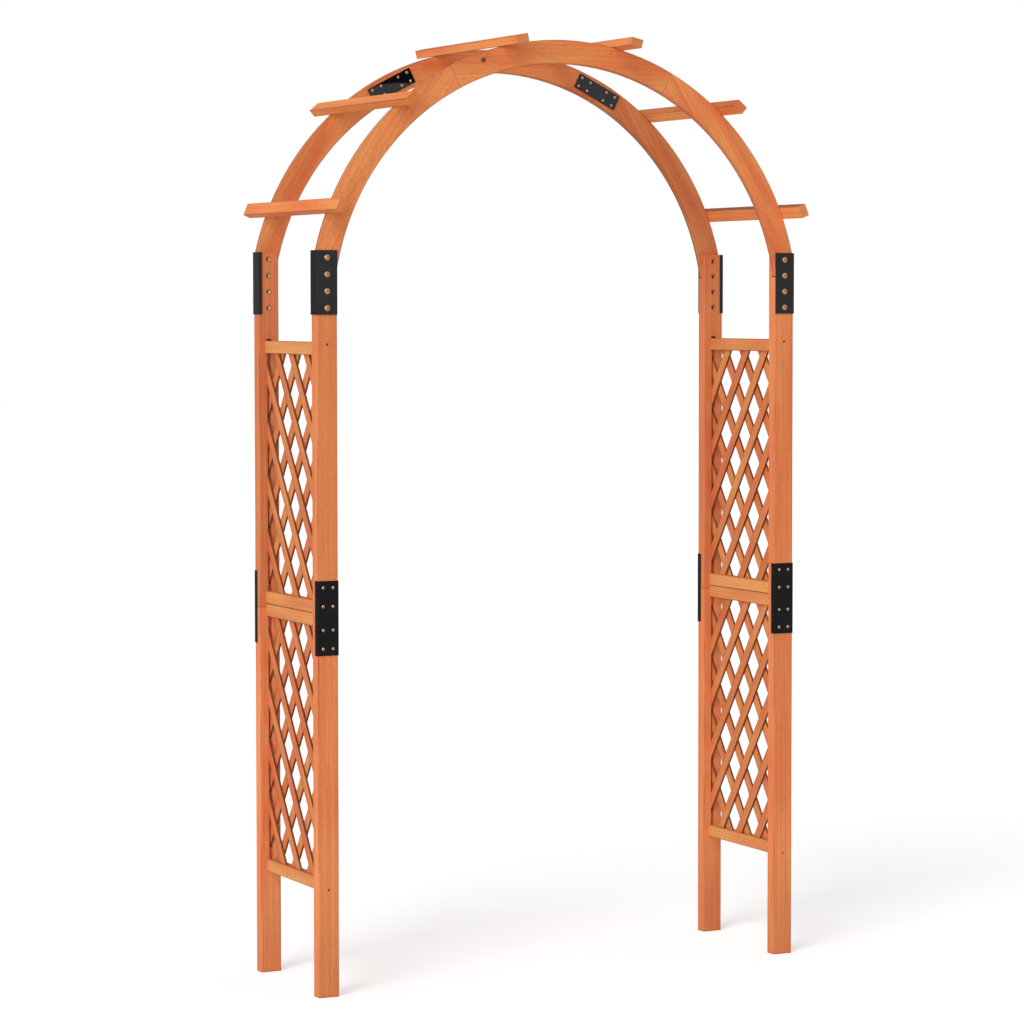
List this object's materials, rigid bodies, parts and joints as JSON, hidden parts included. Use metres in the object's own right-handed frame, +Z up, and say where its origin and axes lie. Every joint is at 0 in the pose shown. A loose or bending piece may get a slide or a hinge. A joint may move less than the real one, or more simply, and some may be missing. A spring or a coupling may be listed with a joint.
{
  "type": "garden arbor",
  "caption": "Walk-through wooden garden arbor with round arches on square posts, joined by slats across the top and by diamond lattice panels between the posts at each side.",
  "frame": {"origin": "on the ground, midway between the posts across the walkway and along it", "axes": "+Z up; +X across the walkway, from the left posts to the right posts seen from the front; +Y through the walkway, from the front arch to the back arch"},
  "size_m": [1.134, 0.5, 1.99],
  "materials": {
    "post_wood": "planed softwood, warm brown stain, matte",
    "arch_wood": "band-sawn and sanded softwood, warm brown stain, matte",
    "slat_wood": "planed softwood, warm brown stain, matte",
    "rail_wood": "planed softwood, warm brown stain, matte",
    "lath_wood": "thin planed softwood, warm brown stain, matte",
    "dowel_wood": "plain turned beech",
    "black_steel": "black powder coat, satin",
    "copper_fastener": "copper-coloured plating, polished",
    "nut_steel": "zinc-plated steel"
  },
  "bodies": {
    "root": {"front_left_lower_post": "post_wood", "front_left_upper_post": "post_wood", "front_left_bracket": "black_steel", "front_left_post_plate": "black_steel", "front_right_lower_post": "post_wood", "front_right_upper_post": "post_wood", "front_right_bracket": "black_steel", "front_right_post_plate": "black_steel", "back_left_lower_post": "post_wood", "back_left_upper_post": "post_wood", "back_left_bracket": "black_steel", "back_left_post_plate": "black_steel", "back_right_lower_post": "post_wood", "back_right_upper_post": "post_wood", "back_right_bracket": "black_steel", "back_right_post_plate": "black_steel", "front_arch_left": "arch_wood", "front_arch_top": "arch_wood", "front_arch_right": "arch_wood", "front_arch_left_plate": "black_steel", "front_arch_right_plate": "black_steel", "back_arch_left": "arch_wood", "back_arch_top": "arch_wood", "back_arch_right": "arch_wood", "back_arch_left_plate": "black_steel", "back_arch_right_plate": "black_steel", "slat_left_high": "slat_wood", "slat_left_mid": "slat_wood", "slat_left_low": "slat_wood", "slat_right_high": "slat_wood", "slat_right_mid": "slat_wood", "slat_right_low": "slat_wood", "left_lower_bottom_rail": "rail_wood", "left_lower_top_rail": "rail_wood", "left_lower_inner_laths": "lath_wood", "left_lower_outer_laths": "lath_wood", "left_upper_bottom_rail": "rail_wood", "left_upper_top_rail": "rail_wood", "left_upper_inner_laths": "lath_wood", "left_upper_outer_laths": "lath_wood", "right_lower_bottom_rail": "rail_wood", "right_lower_top_rail": "rail_wood", "right_lower_inner_laths": "lath_wood", "right_lower_outer_laths": "lath_wood", "right_upper_bottom_rail": "rail_wood", "right_upper_top_rail": "rail_wood", "right_upper_inner_laths": "lath_wood", "right_upper_outer_laths": "lath_wood", "bracket_bolts": "copper_fastener", "bracket_nuts": "nut_steel", "post_plate_screws": "copper_fastener", "arch_plate_screws": "copper_fastener", "rail_screws": "nut_steel", "slat_dowels": "dowel_wood"}
  },
  "joints": []
}
